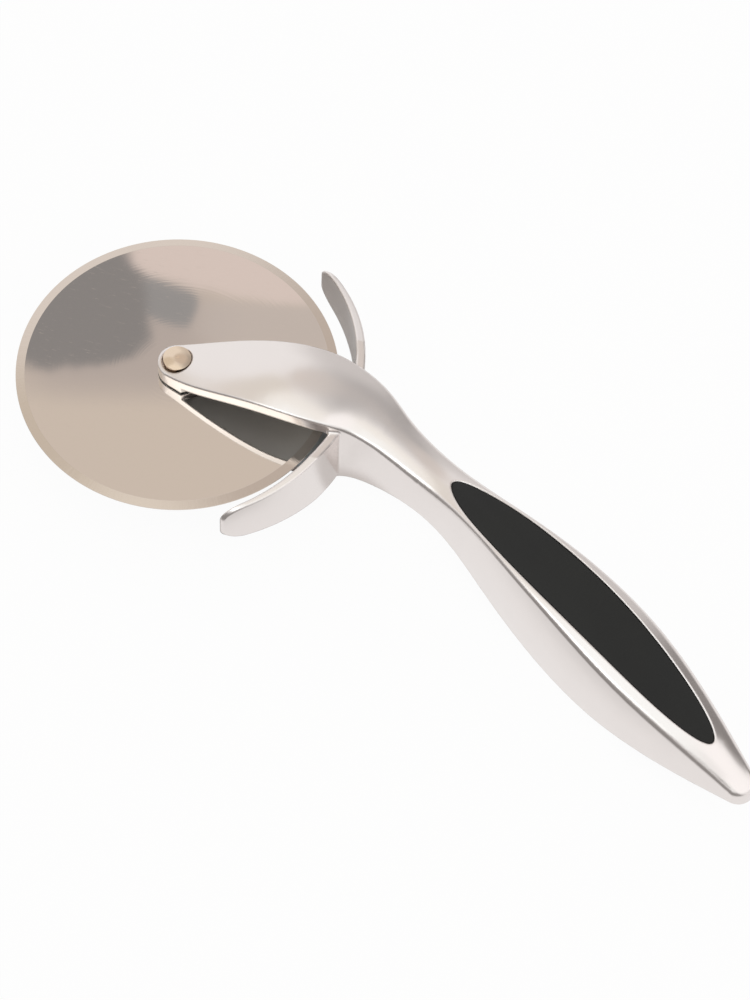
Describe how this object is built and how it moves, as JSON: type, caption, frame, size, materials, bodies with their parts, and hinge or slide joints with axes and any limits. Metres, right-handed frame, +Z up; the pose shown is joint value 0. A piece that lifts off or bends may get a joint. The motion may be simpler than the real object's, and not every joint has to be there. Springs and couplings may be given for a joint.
{
  "type": "pizza wheel",
  "caption": "Hand pizza wheel with a bevelled round blade riveted in an arched fork, a curved finger guard, and a cast grip that bends sideways and swells round soft inserts.",
  "frame": {"origin": "under the middle of the object's outline, on the surface that it lies on", "axes": "+X along the object's length, from the blade towards the grip's tip; +Z up along the blade's axle; the handle bends towards -Y"},
  "size_m": [0.2082, 0.1104, 0.029],
  "materials": {
    "satin_zinc": "satin-chromed zinc die casting",
    "soft_insert": "matte charcoal soft-touch rubber",
    "blade_steel": "polished stainless steel with a ground bevel",
    "rivet_nickel": "polished warm nickel",
    "washer_nylon": "dark nylon"
  },
  "bodies": {
    "handle": {"handle_casting": "satin_zinc", "grip_insert_upper": "soft_insert", "grip_insert_lower": "soft_insert", "rivet_barrel": "rivet_nickel", "rivet_stud": "rivet_nickel", "spacer_washer_upper": "washer_nylon", "spacer_washer_lower": "washer_nylon"},
    "wheel": {"blade": "blade_steel"}
  },
  "joints": [
    {"name": "blade_spin", "type": "hinge", "parent": "handle", "child": "wheel", "pos_m": [-0.06412, 0.0152, 0.01447], "axis": [0, 0, 1], "continuous": true}
  ]
}
